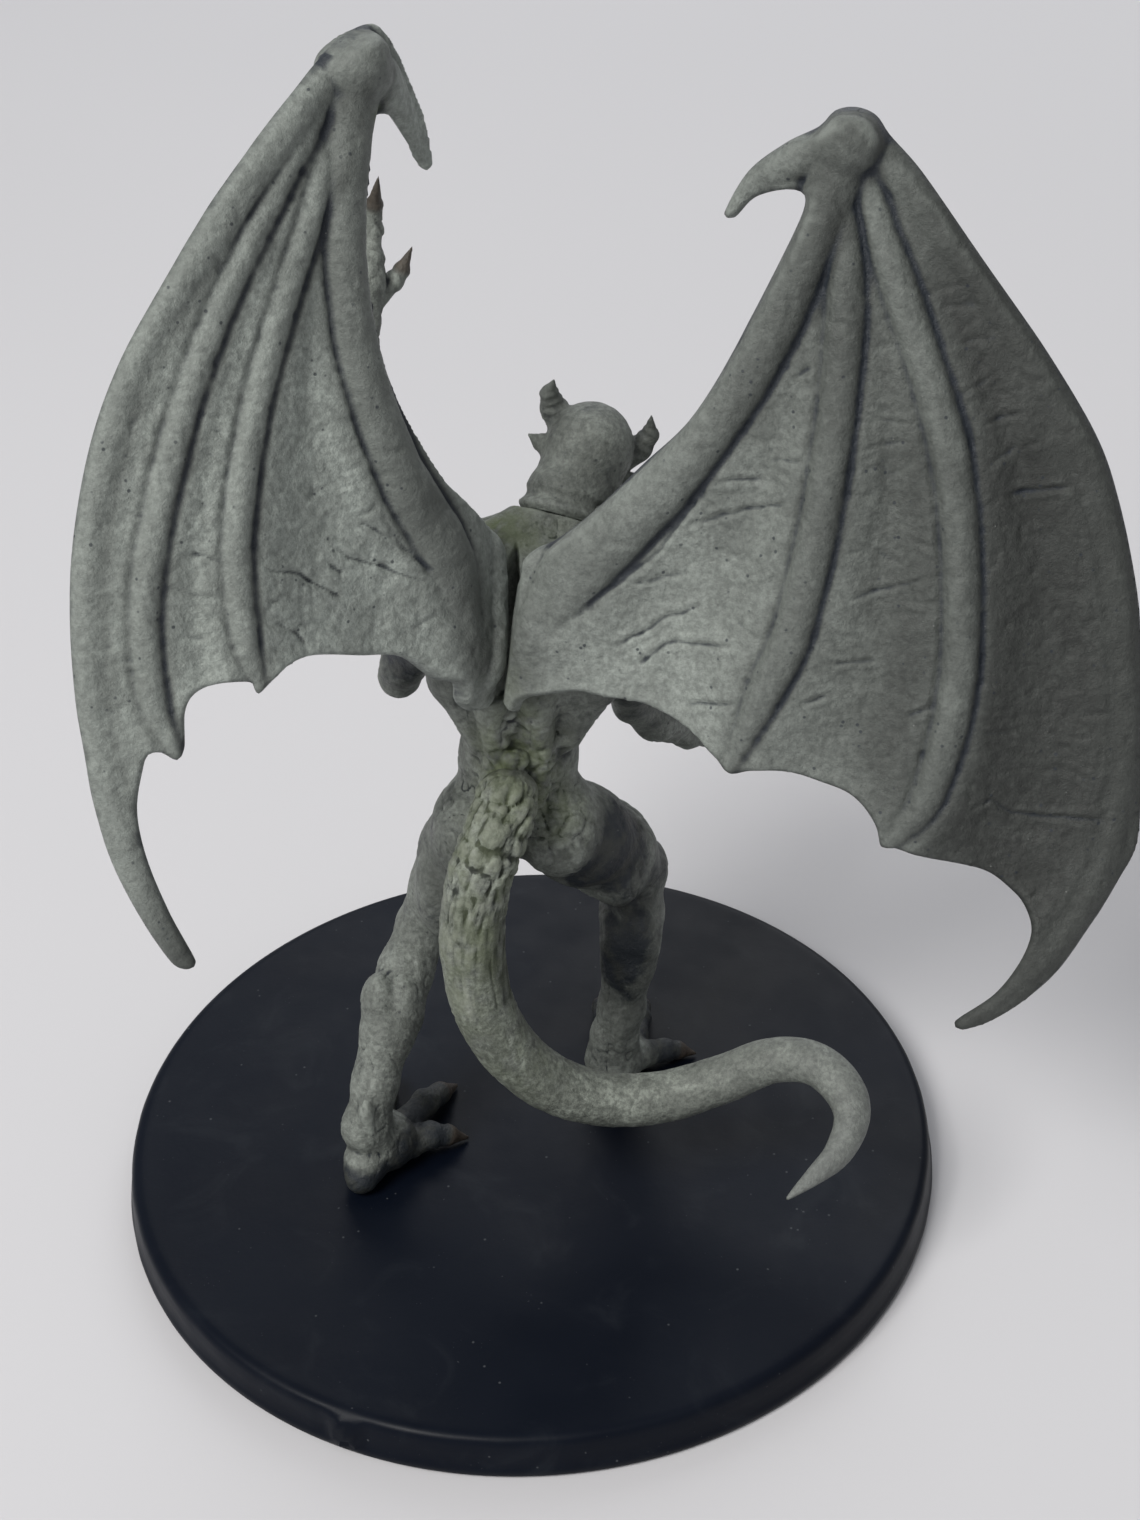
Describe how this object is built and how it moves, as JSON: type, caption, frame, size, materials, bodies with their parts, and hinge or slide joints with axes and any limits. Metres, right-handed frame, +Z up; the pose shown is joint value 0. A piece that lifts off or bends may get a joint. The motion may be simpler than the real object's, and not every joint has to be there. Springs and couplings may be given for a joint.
{
  "type": "winged creature miniature figure",
  "caption": "Winged, horned creature miniature with a long curling tail, standing on a round gaming base; head, wings and tail plug into the body.",
  "frame": {"origin": "centre of the underside of the round base", "axes": "+Z up, -Y the way the figure faces, +X towards the figure's own left hand"},
  "size_m": [0.0563, 0.05, 0.0701],
  "materials": {
    "base_plastic": "satin",
    "grey_paint": "matte",
    "wing_paint": "matte",
    "tail_paint": "matte"
  },
  "bodies": {
    "base": {"base_disc": "base_plastic"},
    "figure": {"torso": "grey_paint", "left_leg": "grey_paint", "right_leg": "grey_paint", "upper_left_arm": "grey_paint", "upper_right_arm": "grey_paint", "lower_left_arm": "grey_paint", "lower_right_arm": "grey_paint"},
    "head": {"head": "grey_paint"},
    "left_wing": {"left_wing": "wing_paint"},
    "right_wing": {"right_wing": "wing_paint"},
    "tail": {"tail": "tail_paint"}
  },
  "joints": [
    {"name": "figure_lift", "type": "slide", "parent": "base", "child": "figure", "axis": [0, 0, 1], "range_m": [0, 0.006]},
    {"name": "head_pull", "type": "slide", "parent": "figure", "child": "head", "axis": [-0.2999, -0.5497, 0.7797], "range_m": [0, 0.004]},
    {"name": "left_wing_pull", "type": "slide", "parent": "figure", "child": "left_wing", "axis": [0, 1, 0], "range_m": [0, 0.006]},
    {"name": "right_wing_pull", "type": "slide", "parent": "figure", "child": "right_wing", "axis": [0, 1, 0], "range_m": [0, 0.006]},
    {"name": "tail_pull", "type": "slide", "parent": "figure", "child": "tail", "axis": [0, 1, 0], "range_m": [0, 0.005]}
  ]
}
